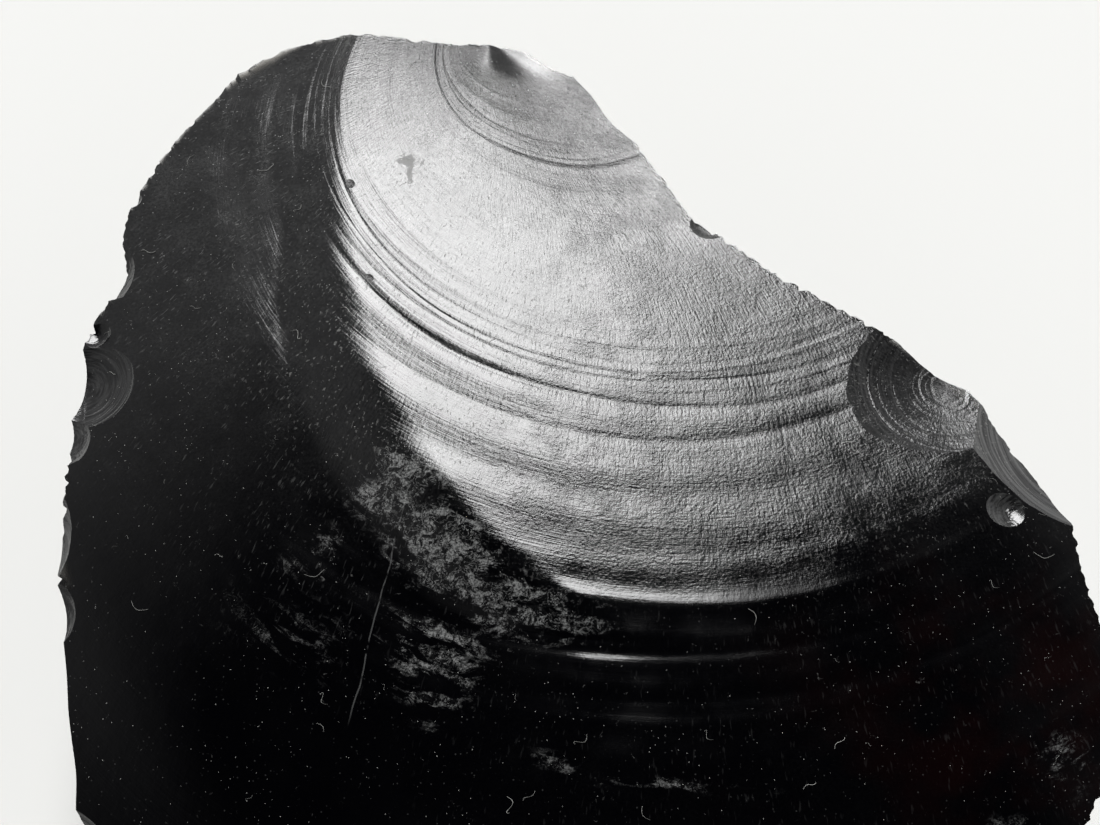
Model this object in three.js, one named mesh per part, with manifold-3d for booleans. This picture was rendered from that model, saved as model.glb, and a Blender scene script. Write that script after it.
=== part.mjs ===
// A hand-sized chunk of obsidian that lies on its flat resting facet, with its large shell-like
// fracture face upwards. The whole stone is one solid: a domed block with ring ripples, trimmed to
// the outline of its rim and then struck by one scar after another, as a flake-scarred core is.
// Millimetres, +Z up, origin under the middle of the stone on the surface it lies on.
import * as THREE from "three";
import { mergeVertices } from "three/addons/utils/BufferGeometryUtils.js";
import Module from "manifold-3d";

// Driving dimensions.
const CREST = { x: 2.5, y: 2.3, z: 33 }; // highest point of the fracture face
const FACE_RADIUS = { x: 190, y: 150 }; // how gently that face falls away on each side
const BLOCK_SIZE = 96; // plan size of the block that everything is cut from
const FACE_CELLS = 46; // cells along each side of the block
const SCAR_STEP = 2.8; // cell size on a large scar
const BITE_STEP = 1; // cell size on a small edge scar
const RIM_MARGIN = 8; // how far the rim wall runs above the face
const RIM_FADE = 9; // depth below the rim at which the wall has lost the small bends of the outline
const RIM_FOOT = -2; // the rim wall ends just below the resting facet
const RIM_SMOOTHING = 3; // neighbours on each side that the lower wall is averaged over
const MIDDLE = new THREE.Vector2(0, -2); // the rim wall leans in towards this point

// Ring ripples spread from a blow just past the far edge. A ring that reaches the distance q down
// the face is a circle whose radius and centre are given here.
const RING = { x: -8.2, y: 41, grow: 0.86, flatten: 0.002, drift: 15, settle: 38 };

// Swells on the fracture face: [reach of the ring, height, half width].
const SWELLS = [
  [14.8, 0.06, 0.9],
  [35.4, 0.08, 1.3],
  [38.6, -0.12, 1.2],
  [43.4, 0.12, 2.0],
  [48.4, 0.08, 1.8],
  [52.8, -0.08, 1.4],
  [54.8, 0.12, 1.6],
  [61.5, -0.06, 2.4],
  [69.0, 0.05, 3.0],
];

// Left of the fan the face drops over a soft brink that follows one of the rings. It is brink steep
// at first and slope steep further on, and fades out round the ring at the angle spoke, in radians.
const SHOULDER = {
  reach: 32.5, brink: 0.155, width: 5, slope: 0.043, onset: 0.3,
  spoke: 3.28, turn: 0.047, turnEnd: 25, spread: 0.24,
};

// Beside the blow the face steps down to the right, and comes back up between the two distances in
// fade. bearing is the middle of the step as seen from the blow and spread half its width, in degrees.
const HOLLOW = { x: -7.5, y: 40.5, bearing: 290, spread: 30, depth: 0.9, near: 5, fade: [12, 30] };

// The rim, seen from above: [x, y, how far its wall leans in, in degrees].
const RIM = [
  [-28.6, 39.6, 42], [-26.8, 41.1, 42], [-23.3, 42.3, 40], [-19.2, 42.4, 38],
  [-14.9, 41.3, 36], [-10.3, 40.1, 32], [-7.4, 40.0, 28], [-4.7, 39.5, 24],
  [-2.2, 37.3, 18], [0.9, 36.0, 16], [2.7, 34.1, 16], [3.8, 31.2, 18],
  [5.1, 27.3, 20], [6.7, 24.5, 20], [8.6, 20.7, 22], [11.4, 18.4, 22],
  [14.3, 15.7, 20], [16.9, 14.0, 22], [19.4, 12.4, 24], [22.9, 10.3, 26],
  [25.9, 9.4, 28], [29.4, 8.5, 28], [30.9, 5.4, 28], [33.1, 1.2, 26],
  [35.0, -1.7, 26], [36.7, -4.4, 28], [37.2, -9.3, 30], [38.2, -12.9, 30],
  [39.7, -18.4, 28], [38.8, -24.4, 24], [34.8, -31.1, 20], [27.3, -36.6, 16],
  [17.2, -40.3, 12], [5.3, -42.1, 8], [-7.3, -41.8, 8], [-19.3, -39.4, 10],
  [-28.5, -36.8, 14], [-34.0, -33.0, 16], [-37.1, -28.4, 20], [-37.6, -26.3, 22],
  [-38.3, -24.8, 26], [-39.3, -19.2, 30], [-39.8, -14.9, 32], [-39.9, -10.2, 32],
  [-40.3, -4.9, 30], [-39.9, -1.2, 30], [-39.8, 1.4, 34], [-40.8, 5.4, 34],
  [-40.5, 9.3, 36], [-39.7, 12.2, 36], [-37.3, 16.6, 38], [-36.6, 18.7, 36],
  [-37.0, 22.7, 38], [-36.5, 25.8, 42], [-34.4, 30.5, 44], [-32.3, 34.1, 44],
  [-30.0, 37.1, 44],
];

// Large scars on the sides and underneath. Each one starts at a point that lies in the compass
// direction bearing (degrees from +X), at the distance reach and the height z, and leans inwards
// on its way down. Its surface is a shallow bowl, across by across and along by along in radius,
// deepest at the distance deep below the start. The shock rings on it have their middle at blow,
// which is measured across and up the scar from its start.
const SCARS = [
  { bearing: 93, reach: 43.2, z: 26.5, lean: 40, across: 120, along: 85, deep: 20, blow: [6, 3] },
  { bearing: 151, reach: 44.5, z: 25.2, lean: 49, across: 90, along: 100, deep: 20, blow: [-7, 3] },
  { bearing: 170, reach: 40.8, z: 26.3, lean: 45, across: 70, along: 80, deep: 16, blow: [4, 4] },
  { bearing: 187, reach: 41.3, z: 26.0, lean: 39, across: 150, along: 75, deep: 18, blow: [9, 4] },
  { bearing: 218, reach: 47.2, z: 24.4, lean: 24, across: 75, along: 70, deep: 14, blow: [-3, 2] },
  { bearing: 263, reach: 42.1, z: 26, lean: 13, across: 130, along: 62, deep: 16, blow: [-12, 4] },
  { bearing: 302, reach: 45.5, z: 26, lean: 27, across: 85, along: 75, deep: 15, blow: [6, 3] },
  { bearing: 350, reach: 41.5, z: 27.5, lean: 36, across: 110, along: 70, deep: 16, blow: [-5, 4] },
  { bearing: 16, reach: 31.9, z: 29.5, lean: 27, across: 90, along: 70, deep: 14, blow: [4, 3] },
  { bearing: 47, reach: 22, z: 31, lean: 21, across: 60, along: 70, deep: 18, blow: [2, 4] },
  { bearing: 76, reach: 36.4, z: 29, lean: 30, across: 80, along: 70, deep: 15, blow: [5, 3] },
  { bearing: 248, reach: 27, z: 0, lean: 57, across: 60, along: 48, deep: -7, blow: [8, 16] },
  { bearing: 205, reach: 18, z: 0, lean: 62, across: 70, along: 60, deep: -9, blow: [-9, 18] },
  { bearing: 316, reach: 21, z: 0, lean: 55, across: 55, along: 50, deep: -8, blow: [-8, 15] },
  { bearing: 18, reach: 9, z: 0, lean: 54, across: 60, along: 55, deep: -8, blow: [7, 15] },
];
const SCAR_RINGS = { height: 0.16, spacing: 6.5, fade: 14 };
const SCAR_SPAN = { across: 104, near: 16, far: 58, thick: 70 }; // extent of the piece struck off

// Small scars along the rim, each a bowl in the edge of the fracture face: its middle and how far
// that is below the face, the direction and the angle that it tips over the edge, the radii of the
// bowl, and half its size.
const BITES = [
  { at: [25.6, 4.2], below: 1.1, bearing: 30, tip: 12, across: 18, along: 40, half: 8 },
  { at: [33.6, -2.2], below: 0.75, bearing: 33, tip: 26, across: 40, along: 24, half: 8 },
  { at: [31.3, -4.7], below: 0.42, bearing: 330, tip: 14, across: 2.2, along: 2.8, half: 2.2 },
  { at: [-38.0, 8.8], below: 0.8, bearing: 190, tip: 16, across: 9, along: 9, half: 6 },
  { at: [-37.9, 12.8], below: 0.4, bearing: 165, tip: 18, across: 1.8, along: 1.6, half: 2.2 },
  { at: [-38.9, 4.3], below: 0.5, bearing: 200, tip: 35, across: 4, along: 4, half: 2.5 },
  { at: [-36.6, 19.8], below: 0.5, bearing: 188, tip: 34, across: 7, along: 5, half: 3.5 },
  { at: [-39.8, -5.6], below: 0.7, bearing: 178, tip: 40, across: 12, along: 6, half: 4.5 },
  { at: [-39.4, -11.5], below: 0.6, bearing: 184, tip: 26, across: 6, along: 4, half: 3.5 },
  { at: [-36.4, -28.2], below: 1.3, bearing: 222, tip: 46, across: 11, along: 8, half: 6 },
  { at: [-28.2, 40.5], below: 0.33, bearing: 122, tip: 30, across: 10, along: 8, half: 4.5 },
  { at: [0.8, 37.1], below: 0.0, bearing: 60, tip: 42, across: 7, along: 5, half: 3 },
  { at: [9.2, 19.1], below: 0.24, bearing: 50, tip: 24, across: 3, along: 2.4, half: 2 },
  { at: [30.5, -33.6], below: 1.04, bearing: 305, tip: 40, across: 14, along: 9, half: 7 },
  { at: [2.0, -41.9], below: 1.18, bearing: 272, tip: 44, across: 18, along: 9, half: 7 },
];
const BITE_DEPTH = 5; // height of the piece that a small scar takes away

const ringRadius = (q) => q * (RING.grow - RING.flatten * q);
const ringX = (q) => {
  const settled = Math.min(q, RING.settle) / RING.settle;
  return RING.x + RING.drift * Math.sin(settled * (Math.PI / 2));
};
const ringY = (q) => RING.y - q + ringRadius(q);

// The reach of the ring that passes through a point, found by halving the range it can be in.
function ringReach(x, y) {
  let near = 0;
  let far = 100;
  for (let step = 0; step < 24; step++) {
    const q = (near + far) / 2;
    if (Math.hypot(x - ringX(q), y - ringY(q)) > ringRadius(q)) near = q;
    else far = q;
  }
  return (near + far) / 2;
}

function dome(x, y) {
  const dx = x - CREST.x;
  const dy = y - CREST.y;
  return CREST.z - (dx * dx) / (2 * FACE_RADIUS.x) - (dy * dy) / (2 * FACE_RADIUS.y);
}

function shoulderDrop(q, spoke) {
  const beyond = Math.max(q - SHOULDER.reach, 0);
  const edge = SHOULDER.spoke + SHOULDER.turn * Math.min(beyond, SHOULDER.turnEnd);
  const left = 1 - THREE.MathUtils.smoothstep(spoke, edge - SHOULDER.spread, edge + SHOULDER.spread);
  const past = Math.hypot(beyond, SHOULDER.onset) - SHOULDER.onset;
  const brink = SHOULDER.brink * SHOULDER.width * (1 - Math.exp(-past / SHOULDER.width));
  return left * (brink + SHOULDER.slope * past);
}

function hollowDrop(x, y) {
  const distance = Math.hypot(x - HOLLOW.x, y - HOLLOW.y);
  const bearing = (THREE.MathUtils.radToDeg(Math.atan2(y - HOLLOW.y, x - HOLLOW.x)) + 360) % 360;
  const [from, to] = [HOLLOW.bearing - HOLLOW.spread, HOLLOW.bearing + HOLLOW.spread];
  const beside = THREE.MathUtils.smoothstep(bearing, from, to);
  const faded = THREE.MathUtils.smoothstep(distance, ...HOLLOW.fade);
  return HOLLOW.depth * beside * Math.tanh(distance / HOLLOW.near) * (1 - faded);
}

function fractureFace(x, y) {
  const q = ringReach(x, y);
  const spoke = (Math.atan2(y - ringY(q), x - ringX(q)) + 2 * Math.PI) % (2 * Math.PI);
  let z = dome(x, y) - shoulderDrop(q, spoke) - hollowDrop(x, y);
  for (const [reach, height, width] of SWELLS) z += height * Math.exp(-(((q - reach) / width) ** 2));
  return z;
}

const wasm = await Module();
wasm.setup();

// A closed geometry with its shared corners merged, as a solid that can be cut.
function solidOf(geometry) {
  geometry.deleteAttribute("normal");
  geometry.deleteAttribute("uv");
  const merged = mergeVertices(geometry, 1e-4);
  return new wasm.Manifold(
    new wasm.Mesh({
      numProp: 3,
      vertProperties: new Float32Array(merged.attributes.position.array),
      triVerts: new Uint32Array(merged.index.array),
    }),
  );
}

// Moves every corner of a geometry to where place(point) puts it.
function reshape(geometry, place) {
  const position = geometry.attributes.position;
  const point = new THREE.Vector3();
  for (let i = 0; i < position.count; i++) {
    point.fromBufferAttribute(position, i);
    place(point);
    position.setXYZ(i, point.x, point.y, point.z);
  }
  return geometry;
}

// The block: flat below, and the fracture face above.
function makeBlock() {
  const block = new THREE.BoxGeometry(BLOCK_SIZE, BLOCK_SIZE, 1, FACE_CELLS, FACE_CELLS, 1);
  return solidOf(reshape(block, (p) => {
    p.z = p.z < 0 ? 0 : fractureFace(p.x, p.y);
  }));
}

// A rim corner averaged with its neighbours, as the lower part of the rim wall has it.
function smoothCorner(i) {
  const sum = [0, 0, 0];
  for (let j = -RIM_SMOOTHING; j <= RIM_SMOOTHING; j++) {
    RIM[(i + j + RIM.length) % RIM.length].forEach((value, k) => (sum[k] += value));
  }
  return sum.map((value) => value / (2 * RIM_SMOOTHING + 1));
}

// The rim wall: the outline along the edge of the face, drawn out above it and in below it, where
// it also loses its small bends.
function makeRim() {
  const outline = new THREE.Shape(RIM.map(([x, y]) => new THREE.Vector2(x, y)));
  const wall = new THREE.ExtrudeGeometry(outline, { depth: 3, steps: 3, bevelEnabled: false });
  return solidOf(reshape(wall, (p) => {
    const i = RIM.findIndex(([x, y]) => Math.hypot(x - p.x, y - p.y) < 1e-3);
    const level = Math.round(p.z);
    const rimHeight = fractureFace(p.x, p.y);
    const height = [RIM_FOOT, rimHeight - RIM_FADE, rimHeight, rimHeight + RIM_MARGIN][level];
    const [x, y, lean] = level < 2 ? smoothCorner(i) : RIM[i];
    const start = new THREE.Vector2(x, y);
    const towards = MIDDLE.clone().sub(start).normalize();
    start.addScaledVector(towards, (rimHeight - height) * Math.tan(THREE.MathUtils.degToRad(lean)));
    p.set(start.x, start.y, height);
  }));
}

// Axes for a scar: across it, up it, and out of the stone.
function scarAxes(bearing, pitch) {
  const turn = THREE.MathUtils.degToRad(bearing);
  const rise = THREE.MathUtils.degToRad(pitch);
  const level = new THREE.Vector3(Math.cos(turn), Math.sin(turn), 0);
  const out = level.multiplyScalar(Math.cos(rise)).setZ(Math.sin(rise));
  const across = new THREE.Vector3(-Math.sin(turn), Math.cos(turn), 0);
  return new THREE.Matrix4().makeBasis(across, out.clone().cross(across), out);
}

// The piece that a large scar takes off the stone: a slab whose lower face is the scar.
function makeScar({ bearing, reach, z, lean, across, along, deep, blow }) {
  const above = z > 0 ? SCAR_SPAN.near : SCAR_SPAN.far; // a scar that starts at the foot runs upwards
  const below = z > 0 ? SCAR_SPAN.far : SCAR_SPAN.near;
  const slab = new THREE.BoxGeometry(
    SCAR_SPAN.across, above + below, 1,
    Math.round(SCAR_SPAN.across / SCAR_STEP), Math.round((above + below) / SCAR_STEP), 1,
  );
  reshape(slab, (p) => {
    const u = p.x;
    const v = p.y + (above - below) / 2;
    const bowl = (u * u) / (2 * across) + (v * (v + 2 * deep)) / (2 * along);
    const distance = Math.hypot(u - blow[0], v - blow[1]);
    const strength = SCAR_RINGS.height * (1 - Math.exp(-distance / SCAR_RINGS.fade));
    const rings = strength * Math.sin((2 * Math.PI * distance) / SCAR_RINGS.spacing);
    p.set(u, v, p.z > 0 ? SCAR_SPAN.thick : bowl + rings);
  });
  const turn = THREE.MathUtils.degToRad(bearing);
  slab.applyMatrix4(scarAxes(bearing, -lean).setPosition(reach * Math.cos(turn), reach * Math.sin(turn), z));
  return solidOf(slab);
}

// The piece that a small scar takes out of the rim.
function makeBite({ at: [x, y], below, bearing, tip, across, along, half }) {
  const cells = Math.max(8, Math.round((2 * half) / BITE_STEP));
  const piece = new THREE.BoxGeometry(2 * half, 2 * half, 1, cells, cells, 1);
  reshape(piece, (p) => {
    const bowl = (p.x * p.x) / (2 * across) + (p.y * p.y) / (2 * along);
    p.z = p.z > 0 ? BITE_DEPTH : Math.min(bowl, BITE_DEPTH - 1);
  });
  piece.applyMatrix4(scarAxes(bearing, 90 - tip).setPosition(x, y, fractureFace(x, y) - below));
  return solidOf(piece);
}

function makeStone() {
  let stone = makeBlock().intersect(makeRim());
  for (const scar of SCARS) stone = stone.subtract(makeScar(scar));
  for (const bite of BITES) stone = stone.subtract(makeBite(bite));
  const mesh = stone.getMesh();
  const geometry = new THREE.BufferGeometry();
  const corners = new Float32Array(mesh.vertProperties);
  geometry.setAttribute("position", new THREE.BufferAttribute(corners, 3));
  geometry.setIndex(new THREE.BufferAttribute(new Uint32Array(mesh.triVerts), 1));
  geometry.computeVertexNormals();
  return geometry;
}

const obsidian = new THREE.MeshStandardMaterial({ color: 0x0b0b0d, roughness: 0.16, metalness: 0 });
const chunk = new THREE.Mesh(makeStone(), obsidian);
chunk.name = "chunk";

const group = new THREE.Group();
group.add(chunk);
export default group;
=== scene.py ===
import bmesh
import bpy
import math
import numpy as np
from mathutils import Matrix, Vector


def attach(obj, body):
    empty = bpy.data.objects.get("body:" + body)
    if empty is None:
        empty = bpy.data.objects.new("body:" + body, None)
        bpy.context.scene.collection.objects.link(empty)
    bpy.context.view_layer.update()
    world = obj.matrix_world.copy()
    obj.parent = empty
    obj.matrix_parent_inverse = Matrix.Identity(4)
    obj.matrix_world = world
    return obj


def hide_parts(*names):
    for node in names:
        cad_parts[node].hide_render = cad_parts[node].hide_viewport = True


# A chunk of obsidian lying on a pale table. Lengths are in millimetres until a mesh is finished.
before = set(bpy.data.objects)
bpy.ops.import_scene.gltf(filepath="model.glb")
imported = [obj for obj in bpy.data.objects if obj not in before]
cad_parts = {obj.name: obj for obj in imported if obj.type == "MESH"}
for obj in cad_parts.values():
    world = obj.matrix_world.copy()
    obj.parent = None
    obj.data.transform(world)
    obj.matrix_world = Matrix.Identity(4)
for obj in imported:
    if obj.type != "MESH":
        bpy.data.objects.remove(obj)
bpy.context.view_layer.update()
metresPerMm = 0.001


def srgbToLinear(hexColour):
    # "#rrggbb" to linear red, green, blue and alpha
    parts = [int(hexColour[i:i + 2], 16) / 255 for i in (1, 3, 5)]
    return [p / 12.92 if p <= 0.04045 else ((p + 0.055) / 1.055) ** 2.4 for p in parts] + [1.0]


def addNode(tree, kind, inputs=None, **settings):
    # one node with its settings; an input takes a value, a socket or a node, whose first output it is
    node = tree.nodes.new(kind)
    for name, value in settings.items():
        setattr(node, name, value)
    for name, value in (inputs or {}).items():
        if isinstance(value, bpy.types.Node):
            value = value.outputs[0]
        if isinstance(value, bpy.types.NodeSocket):
            tree.links.new(value, node.inputs[name])
        else:
            node.inputs[name].default_value = value
    return node


def sumLayers(tree, values, layers):
    # each layer is the product of its parts, and the layers are added up; a name stands for its value
    total = 0.0
    for layer in layers:
        product, *rest = [values[part] if isinstance(part, str) else part for part in layer]
        for value in rest:
            product = addNode(tree, "ShaderNodeMath", {0: product, 1: value}, operation="MULTIPLY")
        total = addNode(tree, "ShaderNodeMath", {0: product, 1: total}, operation="ADD")
    return total


def addMasks(tree, values, masks):
    # a mask eases from its first value to its second while its source goes from low to high
    for name, (source, low, high, first, second) in masks.items():
        values[name] = addNode(tree, "ShaderNodeMapRange", {
            "Value": values[source], "From Min": low, "From Max": high, "To Min": first, "To Max": second},
            interpolation_type="SMOOTHSTEP")


def smoothStep(low, high, value):
    t = np.clip((value - low) / (high - low), 0, 1)
    return t * t * (3 - 2 * t)


def atLeast(least, value):
    # squeezes 0 to 1 into least to 1
    return least + (1 - least) * value


def linkObject(name, mesh):
    thing = bpy.data.objects.new(name, mesh)
    bpy.context.scene.collection.objects.link(thing)
    return thing


camera = {
    "lens": 100.0,           # mm, on a 36 mm sensor
    "elevation": 60.5,       # degrees above the table
    "distance": 233.0,       # from the lens to the point looked at
    "target": (-2.44, 3.78, 30.0),
}


def makeCamera(settings):
    rise = math.radians(settings["elevation"])
    forward = Vector((0, math.cos(rise), -math.sin(rise)))
    data = bpy.data.cameras.new("camera")
    data.lens = settings["lens"]
    data.clip_start = 0.01
    thing = linkObject("camera", data)
    thing.location = (Vector(settings["target"]) - forward * settings["distance"]) * metresPerMm
    thing.rotation_euler = (math.pi / 2 - rise, 0, 0)
    bpy.context.scene.camera = thing


makeCamera(camera)
print("camera placed")

# The rings of ripples spread from a blow just past the far edge. The ring that reaches the distance q
# down the face is a circle; swells are [reach, height, half width, how it wanders].
fractureFace = {
    "crest": (2.5, 2.3, 33.0),
    "radius": (190.0, 150.0),
    "ring": {"x": -8.2, "y": 41.0, "grow": 0.86, "flatten": 0.002, "drift": 15.0, "settle": 38.0},
    "ringCount": 560,
    "spokeCount": 150,
    "spokeRange": (140.0, 330.0),   # degrees round the ring centres
    "reachRange": (0.4, 92.0),
    "swells": [
        (8.2, 0.010, 0.25, 2), (10.5, 0.020, 0.70, 1), (12.3, -0.016, 0.30, 2), (13.2, 0.012, 0.20, 3),
        (14.0, -0.012, 0.16, 0), (14.6, -0.022, 0.22, 0), (15.3, 0.030, 0.36, 0), (18.5, 0.020, 0.60, 1),
        (24.0, 0.020, 1.20, 4), (31.5, 0.016, 0.50, 2), (33.4, 0.020, 0.32, 1), (34.4, -0.016, 0.20, 3),
        (35.2, 0.016, 0.22, 0), (35.9, -0.014, 0.16, 2), (36.6, -0.024, 0.24, 1), (37.3, 0.012, 0.18, 4),
        (38.4, -0.060, 0.36, 2), (39.6, 0.040, 0.80, 2), (41.3, -0.036, 0.45, 0), (43.6, 0.070, 1.30, 3),
        (46.2, -0.020, 0.80, 1), (48.2, 0.050, 1.20, 2), (50.8, -0.016, 0.60, 4), (52.8, -0.018, 0.90, 0),
        (54.7, 0.034, 0.65, 5), (56.8, 0.016, 0.50, 2), (58.6, -0.030, 0.50, 1), (60.3, 0.028, 0.60, 3),
        (62.0, -0.030, 0.45, 4), (63.4, 0.032, 0.60, 0), (66.0, 0.040, 0.90, 2), (70.5, -0.040, 1.20, 5),
    ],
    # swells die out to the left, and sooner so beyond the reach called late
    "limb": {"reach": (35.0, 38.5), "spoke": (3.42, 4.20), "rest": 0.16,
             "late": 44.0, "turn": 0.04, "turnEnd": 10.0},
    # past the shoulder the face falls away to the left
    "shoulder": {"reach": 32.5, "brink": 0.155, "width": 5.0, "slope": 0.043, "onset": 0.3,
                 "spoke": 3.28, "turn": 0.047, "turnEnd": 25.0, "spread": 0.24},
    # beside the blow the face steps down to the right and comes back up further on; bearing and
    # spread are in degrees
    "hollow": {"at": (-7.5, 40.5), "bearing": 290.0, "spread": 30.0,
               "depth": 0.9, "near": 5.0, "fade": (12.0, 30.0)},
    "dents": (0.05, 0.03),          # soft unevenness, broad and narrow
}


def ringRadius(q):
    return q * (fractureFace["ring"]["grow"] - fractureFace["ring"]["flatten"] * q)


def ringCentre(q):
    ring = fractureFace["ring"]
    x = ring["x"] + ring["drift"] * np.sin(np.minimum(q, ring["settle"]) / ring["settle"] * math.pi / 2)
    return x, ring["y"] - q + ringRadius(q)


def ringReach(x, y):
    # the reach and the spoke angle of the ring through each point, by halving the range
    near, far = np.zeros_like(x), np.full_like(x, 110.0)
    for _ in range(24):
        q = (near + far) / 2
        cx, cy = ringCentre(q)
        beyond = np.hypot(x - cx, y - cy) > ringRadius(q)
        near, far = np.where(beyond, q, near), np.where(beyond, far, q)
    return q, np.arctan2(y - cy, x - cx) % (2 * math.pi)


def dome(x, y):
    (cx, cy, top), (rx, ry) = fractureFace["crest"], fractureFace["radius"]
    return top - (x - cx) ** 2 / (2 * rx) - (y - cy) ** 2 / (2 * ry)


def faceHeight(x, y, q=None, spoke=None):
    if q is None:
        q, spoke = ringReach(x, y)
    z = dome(x, y)
    shoulder = fractureFace["shoulder"]
    past = np.maximum(q - shoulder["reach"], 0)
    edge = shoulder["spoke"] + shoulder["turn"] * np.minimum(past, shoulder["turnEnd"])
    left = 1 - smoothStep(edge - shoulder["spread"], edge + shoulder["spread"], spoke)
    past = np.sqrt(past ** 2 + shoulder["onset"] ** 2) - shoulder["onset"]
    brink = shoulder["brink"] * shoulder["width"] * (1 - np.exp(-past / shoulder["width"]))
    z = z - left * (brink + shoulder["slope"] * past)
    limb = fractureFace["limb"]
    later = limb["turn"] * np.clip(q - limb["late"], 0, limb["turnEnd"])
    fade = limb["rest"] + (1 - limb["rest"]) * smoothStep(*limb["spoke"], spoke - later)
    strength = 1 - (1 - fade) * smoothStep(*limb["reach"], q)
    for reach, height, width, phase in fractureFace["swells"]:
        at = reach + 0.30 * np.sin(2 * spoke + phase * 1.7) + 0.12 * np.sin(7 * spoke + phase * 2.3)
        rise = height * (1 + 0.4 * np.sin(3 * spoke + phase))
        z = z + strength * rise * np.exp(-(((q - at) / width) ** 2))
    hollow = fractureFace["hollow"]
    distance = np.hypot(x - hollow["at"][0], y - hollow["at"][1])
    bearing = np.degrees(np.arctan2(y - hollow["at"][1], x - hollow["at"][0])) % 360
    beside = smoothStep(hollow["bearing"] - hollow["spread"], hollow["bearing"] + hollow["spread"], bearing)
    faded = 1 - smoothStep(*hollow["fade"], distance)
    z = z - hollow["depth"] * beside * np.tanh(distance / hollow["near"]) * faded
    broad, narrow = fractureFace["dents"]
    z = z + broad * np.sin(0.21 * x + 1) * np.sin(0.17 * y + 0.05 * x)
    return z + narrow * np.sin(0.43 * x + 0.31 * y + 2)


def faceFlow(x, y):
    # distance round the ring and distance from the blow, for patterns that follow the fracture
    q, spoke = ringReach(x, y)
    return spoke * 30, q


def meshFrom(name, corners, faces, surface):
    # a mesh whose faces remember which fracture surface they lie on
    mesh = bpy.data.meshes.new(name)
    mesh.from_pydata(np.asarray(corners, float).tolist(), [], faces)
    mark = mesh.attributes.new("surface", "INT", "FACE")
    mark.data.foreach_set("value", np.full(len(mesh.polygons), surface, np.int32))
    return mesh


def gridFaces(rows, columns):
    index = np.arange(rows * columns).reshape(rows, columns)
    return np.stack([index[:-1, :-1], index[1:, :-1], index[1:, 1:], index[:-1, 1:]], -1).reshape(-1, 4)


def gridBorder(rows, columns):
    # the border corners in order, anticlockwise as gridFaces winds
    index = np.arange(rows * columns).reshape(rows, columns)
    return np.concatenate([index[:-1, 0], index[-1, :-1], index[:0:-1, -1], index[0, :0:-1]])


def closeGrid(top, rows, columns, floorOf, flip=False):
    # closes a grid of corners with side walls and one flat polygon where floorOf puts the border
    border = gridBorder(rows, columns)
    count = len(top)
    low = floorOf(top[border])
    ring = np.arange(len(border))
    after = np.roll(ring, -1)
    sides = np.stack([border[ring], count + ring, count + after, border[after]], -1)
    quads = np.concatenate([gridFaces(rows, columns), sides])
    lid = (count + ring)[::-1]
    if flip:
        quads, lid = quads[:, ::-1], lid[::-1]
    return np.concatenate([top, low]), quads.tolist() + [lid.tolist()]


def ringReaches():
    # closer rings where the ripples are tight
    low, high = fractureFace["reachRange"]
    q = np.linspace(low, high, 4000)
    need = 1.0 + sum(0.5 * min(0.6 / width, 3) * np.exp(-(((q - reach) / (width + 0.6)) ** 2))
                     for reach, _, width, _ in fractureFace["swells"])
    total = np.concatenate([[0], np.cumsum((need[1:] + need[:-1]) / 2)])
    return np.interp(np.linspace(0, total[-1], fractureFace["ringCount"]), total, q)


def makeBlock():
    spokes = np.radians(np.linspace(*fractureFace["spokeRange"], fractureFace["spokeCount"]))
    q, spoke = np.meshgrid(ringReaches(), spokes, indexing="ij")
    cx, cy = ringCentre(q)
    x, y = cx + ringRadius(q) * np.cos(spoke), cy + ringRadius(q) * np.sin(spoke)
    top = np.stack([x, y, faceHeight(x, y, q, spoke)], -1).reshape(-1, 3)
    corners, faces = closeGrid(top, *q.shape, lambda border: border * (1, 1, 0))
    return meshFrom("block", corners, faces, 0)


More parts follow.
